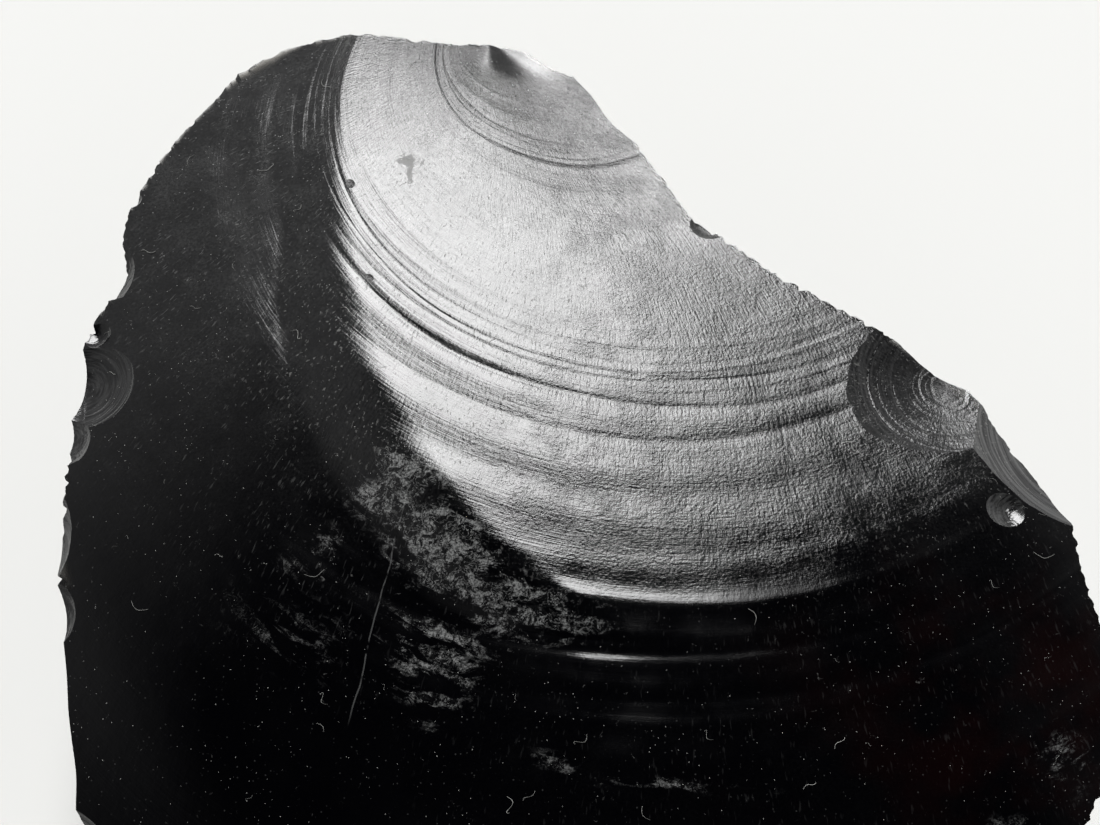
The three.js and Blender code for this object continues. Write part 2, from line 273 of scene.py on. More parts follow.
# [x, y, lean of the wall under it in degrees], clockwise from the far left
rimWall = {
    "outline": [
        (-28.6, 39.6, 42), (-26.8, 41.1, 42), (-23.3, 42.3, 40), (-19.2, 42.4, 38), (-14.9, 41.3, 36),
        (-10.3, 40.1, 32), (-7.4, 40.0, 28), (-4.7, 39.5, 24), (-2.2, 37.3, 18), (0.9, 36.0, 16),
        (2.7, 34.1, 16), (3.8, 31.2, 18), (5.1, 27.3, 20), (6.7, 24.5, 20), (8.6, 20.7, 22),
        (11.4, 18.4, 22), (14.3, 15.7, 20), (16.9, 14.0, 22), (19.4, 12.4, 24), (22.9, 10.3, 26),
        (25.9, 9.4, 28), (29.4, 8.5, 28), (30.9, 5.4, 28), (33.1, 1.2, 26), (35.0, -1.7, 26),
        (36.7, -4.4, 28), (37.2, -9.3, 30), (38.2, -12.9, 30), (39.7, -18.4, 28), (38.8, -24.4, 24),
        (34.8, -31.1, 20), (27.3, -36.6, 16), (17.2, -40.3, 12), (5.3, -42.1, 8), (-7.3, -41.8, 8),
        (-19.3, -39.4, 10), (-28.5, -36.8, 14), (-34.0, -33.0, 16), (-37.1, -28.4, 20),
        (-37.6, -26.3, 22), (-38.3, -24.8, 26), (-39.3, -19.2, 30), (-39.8, -14.9, 32),
        (-39.9, -10.2, 32), (-40.3, -4.9, 30), (-39.9, -1.2, 30), (-39.8, 1.4, 34), (-40.8, 5.4, 34),
        (-40.5, 9.3, 36), (-39.7, 12.2, 36), (-37.3, 16.6, 38), (-36.6, 18.7, 36), (-37.0, 22.7, 38),
        (-36.5, 25.8, 42), (-34.4, 30.5, 44), (-32.3, 34.1, 44), (-30.0, 37.1, 44),
    ],
    "middle": (0.0, -2.0),
    "smoothing": 3,
    # how often the crumbled edge wanders and how much, and what changes that from one level to the next
    "waves": [(31, 0.3), (67, 0.4), (113, 0.35), (197, 0.35), (293, 0.3)],
    "lowerWaves": [(43, 1), (101, 0.6)],
    "step": 0.30,             # spacing of the points along the edge
    "crumble": 0.45,          # how far the edge wanders between the outline's corners
    "levels": [8.0, 1.0, 0.0, -0.7, -1.6, -3.0, -5.5, -9.0],   # above and below the rim
    "foot": -2.0,
    "seed": 11,
}


def wander(count, wavelengths, rng):
    # a closed line of smooth random heights, about -1 to 1
    along = np.arange(count) / count * 2 * math.pi
    total = np.zeros(count)
    for cycles, size in wavelengths:
        total += size * np.sin(cycles * along + rng.uniform(0, 2 * math.pi)) * (1 + 0.5 * np.sin(
            rng.integers(2, 9) * along + rng.uniform(0, 2 * math.pi)))
    return total


def makeRim():
    settings = rimWall
    rng = np.random.default_rng(settings["seed"])
    rough = np.array(settings["outline"], float)
    reach = settings["smoothing"]
    smooth = sum(np.roll(rough, k, axis=0) for k in range(-reach, reach + 1)) / (2 * reach + 1)
    steps = np.hypot(*(np.roll(rough, -1, axis=0) - rough)[:, :2].T)
    at = np.concatenate([[0], np.cumsum(steps)])
    count = int(at[-1] / settings["step"])
    along = np.linspace(0, at[-1], count, endpoint=False)
    sharp, soft = [np.stack([np.interp(along, at, np.append(line[:, k], line[0, k])) for k in range(3)], -1)
                   for line in (rough, smooth)]
    inward = np.array(settings["middle"]) - sharp[:, :2]
    inward /= np.linalg.norm(inward, axis=1, keepdims=True)
    rimHeight = faceHeight(sharp[:, 0], sharp[:, 1])
    crumble = settings["crumble"] * np.abs(wander(count, settings["waves"], rng))
    rows = []
    for level in settings["levels"] + [None]:
        height = rimHeight + level if level is not None else np.full(count, settings["foot"])
        drop = rimHeight - height
        mix = np.clip(drop / -settings["levels"][-1], 0, 1)[:, None]
        line = sharp * (1 - mix) + soft * mix
        push = drop * np.tan(np.radians(line[:, 2])) + crumble * (1 - mix[:, 0])
        rows.append(np.column_stack([line[:, :2] + inward * push[:, None], height]))
        fresh = np.abs(wander(count, settings["lowerWaves"], rng))
        crumble = 0.8 * crumble + 0.2 * settings["crumble"] * fresh
    corners = np.concatenate(rows)
    levels = len(rows)
    index = np.arange(levels * count).reshape(levels, count)
    after = np.roll(index, -1, axis=1)
    quads = np.stack([index[:-1], after[:-1], after[1:], index[1:]], -1).reshape(-1, 4)
    faces = quads.tolist() + [index[0][::-1].tolist(), index[-1].tolist()]
    return meshFrom("rim", corners, faces, 100)


# Each large scar starts at a point in the direction bearing, at the distance reach and height z, and
# leans inwards on its way down. It is a bowl with the radii across and along, lowest at deep below that
# point, and the blow that made it is at blow, across and up.
sideScars = {
    "columns": ("bearing", "reach", "z", "lean", "across", "along", "deep", "blow"),
    "rows": [
        (93, 43.2, 26.5, 40, 120, 85, 20, (6, 3)),
        (151, 44.5, 25.2, 49, 90, 100, 20, (-7, 3)),
        (170, 40.8, 26.3, 45, 70, 80, 16, (4, 4)),
        (187, 41.3, 26.0, 39, 150, 75, 18, (9, 4)),
        (218, 47.2, 24.4, 24, 75, 70, 14, (-3, 2)),
        (263, 42.1, 26, 13, 130, 62, 16, (-12, 4)),
        (302, 45.5, 26, 27, 85, 75, 15, (6, 3)),
        (350, 41.5, 27.5, 36, 110, 70, 16, (-5, 4)),
        (16, 31.9, 29.5, 27, 90, 70, 14, (4, 3)),
        (47, 22.0, 31, 21, 60, 70, 18, (2, 4)),
        (76, 36.4, 29, 30, 80, 70, 15, (5, 3)),
        (248, 27, 0, 57, 60, 48, -7, (8, 16)),
        (205, 18, 0, 62, 70, 60, -9, (-9, 18)),
        (316, 21, 0, 55, 55, 50, -8, (-8, 15)),
        (18, 9, 0, 54, 60, 55, -8, (7, 15)),
    ],
    "across": 52.0, "near": 16.0, "far": 58.0, "thick": 70.0,
    # small cells reach this far to each side, and from here to here up the scar
    "fine": 30.0, "fineDown": (-38.0, 8.0), "fineUp": (-8.0, 30.0),
    "step": 0.55,
    "swell": 0.16, "swellSpacing": 6.5, "swellFade": 14.0,
    "lines": 26, "lineHeight": (0.010, 0.045), "lineWidth": (0.18, 0.7), "lineGap": (0.7, 3.2),
}

# Smaller flakes struck off the rim, from a point below the face. Each is a bowl tipped outwards that
# reaches half to each side; its blow is at blow, across and up, and the last column gives how much pale
# cover it gets, which on the side facet at the right edge is painted reflection.
rimBites = {
    "columns": ("at", "below", "bearing", "tip", "across", "along", "half", "blow", "hazeAndSheen"),
    "rows": [
        ((25.6, 4.2), 1.1, 30, 12, 18, 40, 8, (0.2, -2.8), 0),
        # painted reflection: the pale cover on this side facet and the chip in it stands in for the light
        # they reflect
        ((33.6, -2.2), 0.75, 33, 26, 40, 24, 8, (1.0, -7), 1.0),
        ((31.3, -4.7), 0.42, 330, 14, 2.2, 2.8, 2.2, (0.3, -1.3), 0.6),
        ((-38.0, 8.8), 0.8, 190, 16, 9, 9, 6, (0.2, -1.0), 0.3),
        ((-37.9, 12.8), 0.4, 165, 18, 1.8, 1.6, 2.2, (0, -0.6), 0),
        ((-38.9, 4.3), 0.5, 200, 35, 4, 4, 2.5, (0, -1.0), 0.5),
        ((-36.6, 19.8), 0.5, 188, 34, 7, 5, 3.5, (0, -1.2), 0),
        ((-39.8, -5.6), 0.7, 178, 40, 12, 6, 4.5, (0, -2), 0.6),
        ((-39.4, -11.5), 0.6, 184, 26, 6, 4, 3.5, (0, -1.4), 0.4),
        ((-36.4, -28.2), 1.3, 222, 46, 11, 8, 6, (0, -3), 0.5),
        ((-28.2, 40.5), 0.33, 122, 30, 10, 8, 4.5, (0, -2), 0),
        ((0.8, 37.1), 0.0, 60, 42, 7, 5, 3, (0, -1.5), 0),
        ((9.2, 19.1), 0.24, 50, 24, 3, 2.4, 2, (0, -0.6), 0),
        ((-18.4, 24.9), 0.045, 210, 8, 1.6, 1.0, 1.2, (0, -0.3), 0),
        ((-16.6, 15.2), 0.045, 240, 8, 1.5, 0.9, 1.2, (0, -0.3), 0),
        ((30.5, -33.6), 1.04, 305, 40, 14, 9, 7, (0, -3), 0),
        ((2.0, -41.9), 1.18, 272, 44, 18, 9, 7, (0, -3), 0),
    ],
    "depth": 5.0,
    "cell": 0.11,
    "lines": 34, "lineHeight": (0.008, 0.030), "lineWidth": (0.08, 0.18), "lineGap": (0.16, 0.45),
}


def namedRows(table):
    # the rows of a table, each with its values by the names of the columns
    return [dict(zip(table["columns"], row)) for row in table["rows"]]


def scarMatrix(bearing, pitch, at):
    # across the scar, up it, and out of the stone
    turn, rise = math.radians(bearing), math.radians(pitch)
    out = Vector((math.cos(rise) * math.cos(turn), math.cos(rise) * math.sin(turn), math.sin(rise)))
    across = Vector((-math.sin(turn), math.cos(turn), 0))
    up = out.cross(across)
    return np.array([[across[k], up[k], out[k], at[k]] for k in range(3)] + [[0, 0, 0, 1]])


def shockLines(settings, seed):
    # fine steps at uneven distances from the blow: distance, height, width, wander
    rng = np.random.default_rng(seed)
    gaps = rng.uniform(*settings["lineGap"], settings["lines"])
    heights = rng.uniform(*settings["lineHeight"], settings["lines"])
    heights = heights * rng.choice([-1, 1], settings["lines"])
    widths = rng.uniform(*settings["lineWidth"], settings["lines"])
    return list(zip(np.cumsum(gaps), heights, widths, rng.uniform(0, 6, settings["lines"])))


def sideSurface(scar, seed):
    lines = shockLines(sideScars, seed)
    bx, by = scar["blow"]

    def height(u, v):
        bowl = u * u / (2 * scar["across"]) + v * (v + 2 * scar["deep"]) / (2 * scar["along"])
        distance, angle = np.hypot(u - bx, v - by), np.arctan2(v - by, u - bx)
        fade = 1 - np.exp(-distance / sideScars["swellFade"])
        turns = distance / sideScars["swellSpacing"]
        total = bowl + sideScars["swell"] * fade * np.sin(2 * math.pi * turns)
        for at, rise, width, phase in lines:
            where = at + 0.3 * np.sin(3 * angle + phase)
            total = total + rise * fade * (1 + 0.6 * np.sin(2 * angle + phase * 2)) * np.exp(
                -(((distance - where) / width) ** 2))
        return total

    def flow(u, v):
        return np.arctan2(v - by, u - bx) % (2 * math.pi) * 20, np.hypot(u - bx, v - by)

    turn = math.radians(scar["bearing"])
    at = (scar["reach"] * math.cos(turn), scar["reach"] * math.sin(turn), scar["z"])
    return {"matrix": scarMatrix(scar["bearing"], -scar["lean"], at), "height": height, "flow": flow}


def biteSurface(bite, seed):
    lines = shockLines(rimBites, seed)
    scale = bite["half"] / 8
    bx, by = bite["blow"]

    def height(u, v):
        bowl = u * u / (2 * bite["across"]) + v * v / (2 * bite["along"])
        distance, angle = np.hypot(u - bx, v - by), np.arctan2(v - by, u - bx)
        for at, rise, width, phase in lines:
            where = scale * (at + 0.9 + 0.12 * np.sin(3 * angle + phase))
            bowl = bowl + scale * rise * np.exp(-(((distance - where) / (width * scale)) ** 2))
        return np.minimum(bowl, rimBites["depth"] - 1)

    def flow(u, v):
        return np.arctan2(v - by, u - bx) % (2 * math.pi) * 5, np.hypot(u - bx, v - by)

    x, y = bite["at"]
    at = (x, y, faceHeight(np.array([x]), np.array([y]))[0] - bite["below"])
    return {"matrix": scarMatrix(bite["bearing"], 90 - bite["tip"], at), "height": height, "flow": flow,
            "hazeAndSheen": bite["hazeAndSheen"]}


def slabShell(surface, u, v, thick):
    # the piece struck off: its lower face is the scar
    uu, vv = np.meshgrid(u, v, indexing="ij")
    low = np.stack([uu, vv, surface["height"](uu, vv)], -1).reshape(-1, 3)
    corners, faces = closeGrid(low, *uu.shape, lambda border: np.column_stack(
        [border[:, :2], np.full(len(border), thick)]), flip=True)
    matrix = surface["matrix"]
    return corners @ matrix[:3, :3].T + matrix[:3, 3], faces


def fineLine(low, high, fineLow, fineHigh, step):
    fine = np.arange(max(low, fineLow), min(high, fineHigh) + step / 2, step)
    return np.unique(np.concatenate([[low], fine, [high]]))


rimChips = {
    "count": 210,
    "length": (0.4, 2.3),      # along the edge
    "depth": (0.08, 0.40),     # into the stone
    "tall": (0.4, 0.7),        # height, as a share of the length
    "below": 0.6,              # share of the chips that sit under the edge; their pitch in radians
    "pitchBelow": (-0.5, 0.2), "pitchAbove": (0.5, 1.2),
    "groups": 6,               # chips of one group are too far apart to touch
    "seed": 5,
}


def chipBall():
    # a unit ball of 320 flat faces
    form = bmesh.new()
    bmesh.ops.create_icosphere(form, subdivisions=3, radius=1)
    corners = np.array([c.co for c in form.verts])
    faces = [[c.index for c in f.verts] for f in form.faces]
    form.free()
    return corners, faces


def joined(parts):
    # several closed shells in one list of corners and faces
    corners, faces, start = [], [], 0
    for part, partFaces in parts:
        corners.append(part)
        faces += [[start + k for k in face] for face in partFaces]
        start += len(part)
    return np.concatenate(corners), faces


def makeChips():
    # many small shell-shaped chips along the edge
    rng = np.random.default_rng(rimChips["seed"])
    outline = np.array(rimWall["outline"], float)[:, :2]
    steps = np.roll(outline, -1, axis=0) - outline
    lengths = np.hypot(*steps.T)
    at = np.concatenate([[0], np.cumsum(lengths)])
    unit, unitFaces = chipBall()
    chips = []
    for k in range(rimChips["count"]):
        s = (k + rng.uniform(0.1, 0.9)) / rimChips["count"] * at[-1]
        i = int(np.searchsorted(at, s, side="right") - 1)
        along = steps[i] / lengths[i]
        outward = np.array([-along[1], along[0]])      # the outline runs clockwise
        length, depth = rng.uniform(*rimChips["length"]), rng.uniform(*rimChips["depth"])
        point = outline[i] + along * (s - at[i])
        below = rng.random() < rimChips["below"]
        pitch = rng.uniform(*rimChips["pitchBelow" if below else "pitchAbove"])
        normal = np.array([*(outward * math.cos(pitch)), math.sin(pitch)])
        tangent = np.array([*along, 0])
        radii = (length * 0.6, length * rng.uniform(*rimChips["tall"]), depth * 3)
        height = faceHeight(*point[:, None])[0] - (0.5 * radii[1] if below else 0)
        centre = np.array([*point, height]) + normal * (radii[2] - depth)
        frameOfChip = np.stack([tangent, np.cross(normal, tangent), normal])
        chips.append((unit * radii @ frameOfChip + centre, unitFaces))
    groups = [chips[k::rimChips["groups"]] for k in range(rimChips["groups"])]
    return [meshFrom(f"chips{k}", *joined(group), 200) for k, group in enumerate(groups)]


def cutAll(base, cutters, operation):
    # the mesh that is left of base, which goes with its cutters
    for mesh in cutters:
        tool = linkObject(mesh.name, mesh)
        change = base.modifiers.new(mesh.name, "BOOLEAN")
        change.operation, change.solver, change.object = operation, "MANIFOLD", tool
    graph = bpy.context.evaluated_depsgraph_get()
    result = bpy.data.meshes.new_from_object(base.evaluated_get(graph))
    for thing in [m.object for m in base.modifiers] + [base]:
        bpy.data.objects.remove(thing)
    return result


# The fracture surfaces by number: 0 is the face, 1 on are the side scars and 50 on the bites. The wall
# under the rim, 100, and the chips, 200, need no formula.
surfaces = {0: {"matrix": np.eye(4), "height": faceHeight, "flow": faceFlow}}


def makeStone():
    stone = cutAll(linkObject("stone", makeBlock()), [makeRim()], "INTERSECT")
    cutters = []
    for k, scar in enumerate(namedRows(sideScars), start=1):
        surfaces[k] = sideSurface(scar, 100 + k)
        topDown = scar["z"] > 0
        above, below = (sideScars["near"], sideScars["far"])[:: 1 if topDown else -1]
        half, fine = sideScars["across"], sideScars["fine"]
        u = fineLine(-half, half, -fine, fine, sideScars["step"])
        v = fineLine(-below, above, *sideScars["fineDown" if topDown else "fineUp"], sideScars["step"])
        cutters.append(meshFrom(f"scar{k}", *slabShell(surfaces[k], u, v, sideScars["thick"]), k))
    stone = cutAll(linkObject("stone", stone), cutters, "DIFFERENCE")
    print("side scars struck,", len(stone.polygons), "faces")
    cutters = []
    for k, bite in enumerate(namedRows(rimBites), start=50):
        surfaces[k] = biteSurface(bite, 300 + k)
        line = np.linspace(-bite["half"], bite["half"], int(2 * bite["half"] / rimBites["cell"]))
        cutters.append(meshFrom(f"bite{k}", *slabShell(surfaces[k], line, line, rimBites["depth"]), k))
    stone = cutAll(linkObject("stone", stone), cutters + makeChips(), "DIFFERENCE")
    print("rim chipped,", len(stone.polygons), "faces")
    return stone


# Where the face is satin, dusty, ticked, bruised or tinted. Bruises and smudges are ellipses: x, y,
# two radii, turn in degrees, strength.
faceMarks = {
    "satinReach": (3.0, 8.0, 46.0, 57.0),
    "limbSpoke": (3.38, 3.85), "limbReach": (32.0, 40.0), "limbGloss": 0.85,   # and the glossy part
    "topDepth": (-2.5, -1.0),                                 # the face, but not the walls under it
    # where these begin and are full, and how much there is of them elsewhere
    "grainSpoke": (4.1, 4.7), "leastGrainy": 0.30,
    "dustyRange": (-14.0, 34.0), "leastDusty": 0.03, "wallDust": 0.35,
    "tickedX": (-20.0, -6.0), "tickedY": (-24.0, -12.0), "leastTicked": 0.12,
    "bruises": [
        (-24.5, -14.5, 9.5, 4.2, -24, 1.2), (-12.8, -16.0, 5.2, 3.2, -24, 1.0),
        (-10.4, -8.4, 4.4, 3.2, -40, 1.0), (-13.0, -2.6, 4.6, 2.6, 25, 0.8),
        (-12.2, -19.4, 3.4, 0.9, -14, 0.9), (-31.5, -12.8, 7.6, 1.3, -25, 1.0),
        (-4.5, -13.2, 7.0, 2.6, -14, 0.45), (-20.5, -8.0, 4.5, 1.6, 28, 0.55),
        (-31.8, -21.4, 1.5, 1.3, 0, 0.8), (-33.4, -29.2, 1.6, 1.8, 20, 0.8),
        (-11.5, -21.6, 2.4, 0.7, -16, 0.45), (-2.0, -25.0, 2.6, 0.9, -24, 0.2),
        (7.0, -26.8, 7.0, 0.7, -3, 0.22), (30.0, -29.5, 3.4, 1.4, 10, 0.22),
        (-25.0, -30.5, 1.0, 3.4, -8, 0.3), (35.0, -24.0, 2.2, 2.8, 0, 0.24),
    ],
    "smudges": [
        (-13.8, 26.7, 0.9, 0.8, 10, 0.9), (-13.6, 25.2, 0.35, 1.4, 4, 0.7), (-12.8, 26.4, 0.6, 0.4, 0, 0.7),
    ],
    "tint": (33.0, -21.0, 15.0, 11.0),
    # light gets through within this distance of the rim, and further in round the spots: x, y, radius
    "clearWithin": (0.1, 0.45),
    "clearSpots": [(29.0, 6.0, 5.0), (-27.0, 40.6, 2.4), (-39.6, -8.2, 2.2)],
    "clearSpread": 5.0,
    "clearAbove": (14.0, 20.0),
}


def markField(marks, x, y):
    total = np.zeros_like(x)
    for cx, cy, rx, ry, turn, strength in marks:
        c, n = math.cos(math.radians(turn)), math.sin(math.radians(turn))
        u, v = ((x - cx) * c + (y - cy) * n) / rx, ((y - cy) * c - (x - cx) * n) / ry
        total = np.maximum(total, strength * np.exp(-1.2 * (u * u + v * v)))
    return total


def rimDistance(x, y):
    # how far each point is from the outline, seen from above
    ends = np.array(rimWall["outline"], float)[:, :2]
    nearest = np.full(len(x), 1e9)
    for (x0, y0), (x1, y1) in zip(ends, np.roll(ends, -1, axis=0)):
        dx, dy = x1 - x0, y1 - y0
        t = np.clip(((x - x0) * dx + (y - y0) * dy) / (dx * dx + dy * dy), 0, 1)
        nearest = np.minimum(nearest, np.hypot(x - x0 - t * dx, y - y0 - t * dy))
    return nearest


def cornerOwners(mesh):
    # the surface number of every face corner, and its place
    faces = np.empty(len(mesh.polygons), np.int32)
    mesh.attributes["surface"].data.foreach_get("value", faces)
    normals = np.empty(len(mesh.polygons) * 3)
    mesh.polygons.foreach_get("normal", normals)
    faces[(normals.reshape(-1, 3)[:, 2] < -0.999) & (faces == 0)] = -1      # the underside
    sizes = np.empty(len(mesh.polygons), np.int32)
    mesh.polygons.foreach_get("loop_total", sizes)
    corner = np.empty(len(mesh.loops), np.int32)
    mesh.loops.foreach_get("vertex_index", corner)
    points = np.empty(len(mesh.vertices) * 3)
    mesh.vertices.foreach_get("co", points)
    points = points.reshape(-1, 3)
    return np.repeat(faces, sizes), points[corner], points


def exactNormals(mesh):
    # normals and flow directions from the formula of the surface that each corner lies on
    owner, places, points = cornerOwners(mesh)
    normals = np.zeros((len(owner), 3))
    flow = places[:, :2].copy()
    step = 0.02
    for number, surface in surfaces.items():
        here = owner == number
        matrix = surface["matrix"]
        local = (places[here] - matrix[:3, 3]) @ matrix[:3, :3]
        u, v, height = local[:, 0], local[:, 1], surface["height"]
        slopeU = (height(u + step, v) - height(u - step, v)) / (2 * step)
        slopeV = (height(u, v + step) - height(u, v - step)) / (2 * step)
        normal = np.column_stack([-slopeU, -slopeV, np.ones_like(u)])
        normal /= np.linalg.norm(normal, axis=1, keepdims=True)
        normals[here] = normal @ matrix[:3, :3].T
        flow[here] = np.column_stack(surface["flow"](u, v))
    return owner, normals, flow, points


def addField(mesh, name, values, domain="POINT"):
    layer = mesh.attributes.new(name, "FLOAT", domain)
    layer.data.foreach_set("value", np.asarray(values, np.float32))


def dressStone(mesh):
    owner, normals, flow, points = exactNormals(mesh)
    mesh.shade_smooth()
    mesh.set_sharp_from_angle(angle=math.radians(28))
    layer = mesh.uv_layers.new(name="flow")
    layer.data.foreach_set("uv", flow.ravel().astype(np.float32))
    mesh.normals_split_custom_set(normals.tolist())
    x, y, z = points.T
    q, spoke = ringReach(x, y)
    rise, full, fall, gone = faceMarks["satinReach"]
    top = smoothStep(*faceMarks["topDepth"], z - dome(x, y))
    limb = (1 - smoothStep(*faceMarks["limbSpoke"], spoke)) * smoothStep(*faceMarks["limbReach"], q)
    fan = smoothStep(rise, full, q) * (1 - smoothStep(fall, gone, q))
    satin = fan * (1 - faceMarks["limbGloss"] * limb) * top
    addField(mesh, "satin", satin)
    grainy = smoothStep(*faceMarks["grainSpoke"], spoke)
    addField(mesh, "grainy", satin * atLeast(faceMarks["leastGrainy"], grainy))
    dusty = atLeast(faceMarks["leastDusty"], smoothStep(*faceMarks["dustyRange"], y))
    addField(mesh, "dusty", dusty * atLeast(faceMarks["wallDust"], top))
    addField(mesh, "bruised", markField(faceMarks["bruises"], x, y) * top)
    addField(mesh, "smudged", markField(faceMarks["smudges"], x, y) * top)
    side = (1 - smoothStep(*faceMarks["tickedX"], x)) * smoothStep(*faceMarks["tickedY"], y)
    addField(mesh, "ticked", atLeast(faceMarks["leastTicked"], side) * (1 - satin) * top)
    clearer = sum(np.exp(-(((x - cx) / reach) ** 2) - ((y - cy) / reach) ** 2)
                  for cx, cy, reach in faceMarks["clearSpots"])
    spread = 1 + faceMarks["clearSpread"] * clearer
    start, end = [within * spread for within in faceMarks["clearWithin"]]
    high = smoothStep(*faceMarks["clearAbove"], z)
    addField(mesh, "thin", (1 - smoothStep(start, end, rimDistance(x, y))) * high)
    # pale cover of the rim bites, which on the right-hand side facet is a painted reflection
    addField(mesh, "hazy", [surfaces.get(number, {}).get("hazeAndSheen", 0) for number in owner], "CORNER")
    cx, cy, rx, ry = faceMarks["tint"]
    addField(mesh, "tinted", np.exp(-(((x - cx) / rx) ** 2) - ((y - cy) / ry) ** 2))


# Obsidian is natural silica glass, nearly black in the lump. Freshly broken it is as glossy as a
# bottle, thin edges let a smoky light through, and fine hackles give the fan its satin sheen.
glass = {
    "ior": 1.49,
    "bodyColour": "#010102",
    "absorbColour": "#8b8479",
    "absorbDensity": 2600.0,   # per metre: black within two millimetres
    "pitColour": "#3c3c3a",
    "pitRoughness": 0.6,
    # white of dust, specks, ticks, bruises and the scratch, and also of the painted reflection on the
    # right-hand rim facet
    "dustAndSheenColour": "#c6c7c6",
    "mahogany": "#5c1f10",
    "speckSpacing": 0.42,      # mm
    "scratch": {"start": (-12.9, -3.0), "end": (-17.2, -21.5), "sway": 0.7},
    "fields": ["satin", "grainy", "dusty", "bruised", "smudged", "ticked", "thin", "tinted", "hazy"],
    # patterns through the stone: size in mm, detail, roughness, distortion
    "patterns": {
        "dents": (2.6, 2.0, 0.5, 0.0),
        "grain": (0.23, 3.0, 0.62, 0.0),
        "grainPatches": (3.2, 3.0, 0.6, 0.0),
        "polishPatches": (5.0, 3.0, 0.6, 0.0),
        "pitPatches": (2.2, 2.0, 0.5, 0.0),
        "smudgeSpots": (0.6, 4.0, 0.7, 0.8),
        "filmPatches": (3.0, 4.0, 0.65, 0.0),
        "filmSpecks": (0.22, 2.0, 0.7, 0.0),
        "tickPatches": (3.5, 2.0, 0.5, 0.0),
        "flecks": (1.1, 6.0, 0.75, 0.6),
        "cracks": (0.8, 5.0, 0.62, 0.8),
        "crumbs": (0.15, 2.0, 0.6, 0.0),
        "scratchSway": (4.0, 2.0, 0.5, 0.0),
        "scratchGaps": (0.9, 2.0, 0.5, 0.0),
        "clouds": (7.0, 3.0, 0.6, 0.0),
    },
    # patterns that follow the fracture: size round the blow and away from it in mm, then the same
    "flowPatterns": {
        "ripples": (9.0, 0.24, 3.0, 0.7, 0.0),
        "hackles": (0.20, 1.40, 3.0, 0.6, 0.0),
        "pits": (0.22, 0.50, 2.0, 0.6, 0.0),
        # bands in the pale cover of the rim scars, a painted reflection on the right-hand facet
        "hazeAndSheenBands": (6.0, 0.35, 3.0, 0.7, 0.0),
        "ticks": (0.16, 1.1, 1.0, 0.5, 0.0),
        "bruisePatches": (2.4, 1.3, 4.0, 0.7, 0.6),
    },
    # masks: what each one comes from, from where to where, and its values there
    "masks": {
        "roughness": ("satin", 0.0, 1.0, 0.09, 0.12),
        "unevenPolish": ("polishPatches", 0.35, 0.65, 0.75, 1.25),
        "rippled": ("satin", 0.0, 1.0, 0.20, 1.0),
        "hackled": ("satin", 0.0, 1.0, 0.10, 1.0),
        "pitted": ("grainy", 0.0, 1.0, 0.05, 1.0),
        "unevenGrain": ("grainPatches", 0.34, 0.66, 0.45, 1.35),
        "darkPits": ("pits", 0.60, 0.68, 0.0, 0.9),
        "darkPitPatches": ("pitPatches", 0.38, 0.55, 0.0, 1.0),
        "smudge": ("smudgeEdge", 0.66, 0.80, 0.0, 0.75),
        "film": ("filmPatches", 0.30, 0.75, 0.40, 1.5),
        "filmGrains": ("filmSpecks", 0.36, 0.66, 0.25, 1.9),
        # pale cover of the rim scars, a painted reflection on the right-hand facet
        "hazeAndSheen": ("hazeAndSheenBands", 0.38, 0.64, 0.25, 2.0),
        "specks": ("cellDistance", 0.20, 0.04, 0.0, 1.0),
        "fewCells": ("cellChance", 0.55, 0.95, 0.0, 1.0),
        "specked": ("dusty", 0.0, 1.0, 0.04, 0.26),
        "hackleTicks": ("ticks", 0.62, 0.74, 0.0, 1.0),
        "unevenTicks": ("tickPatches", 0.38, 0.62, 0.0, 0.10),
        "bruises": ("bruiseEdge", 0.55, 0.67, 0.0, 1.0),
        "whiteFlecks": ("flecks", 0.51, 0.56, 0.03, 1.0),
        "whiteCracks": ("crackDepth", 0.025, 0.008, 0.0, 0.7),
        "whiteCrumbs": ("crumbs", 0.40, 0.60, 0.40, 1.5),
        "bruisedOnly": ("bruised", 0.04, 0.30, 0.0, 1.0),
        "scratchLine": ("scratchSide", 0.035, 0.07, 1.0, 0.0),
        "scratchBroken": ("scratchGaps", 0.36, 0.52, 0.0, 1.0),
        "scratchStart": ("scratchRun", 0.0, 1.0, 0.0, 1.0),
        "scratchEnd": ("scratchRun", 17.0, 19.0, 0.07, 0.0),
        "redClouds": ("clouds", 0.40, 0.70, 0.0, 0.025),
    },
    # layers of the relief: dents all over, the finest ripples, hackles pointing away from the blow and
    # the pits of the fan, each with its height in mm
    "relief": [
        ("dents", 0.014),
        ("ripples", "rippled", 0.020),
        ("hackles", "hackled", 0.024),
        ("grain", "pitted", "unevenGrain", 0.046),
    ],
    # layers of white: a pale cover on some rim scars, painted reflection on the right-hand facet, a thin
    # film of dust, specks in it, short hackle marks, bruises of crushed flecks and the scratch, each with
    # how much of the glass it hides
    "white": [
        # pale cover of the rim scars, which on the right-hand facet is a painted reflection
        ("hazy", "hazeAndSheen", 0.05),
        ("film", "filmGrains", "dusty", 0.015),
        ("specks", "fewCells", "specked"),
        ("hackleTicks", "unevenTicks", "ticked"),
        ("bruises", "crushed", "whiteCrumbs", "bruisedOnly", 0.17),
        ("scratchLine", "scratchBroken", "scratchStart", "scratchEnd"),
    ],
}


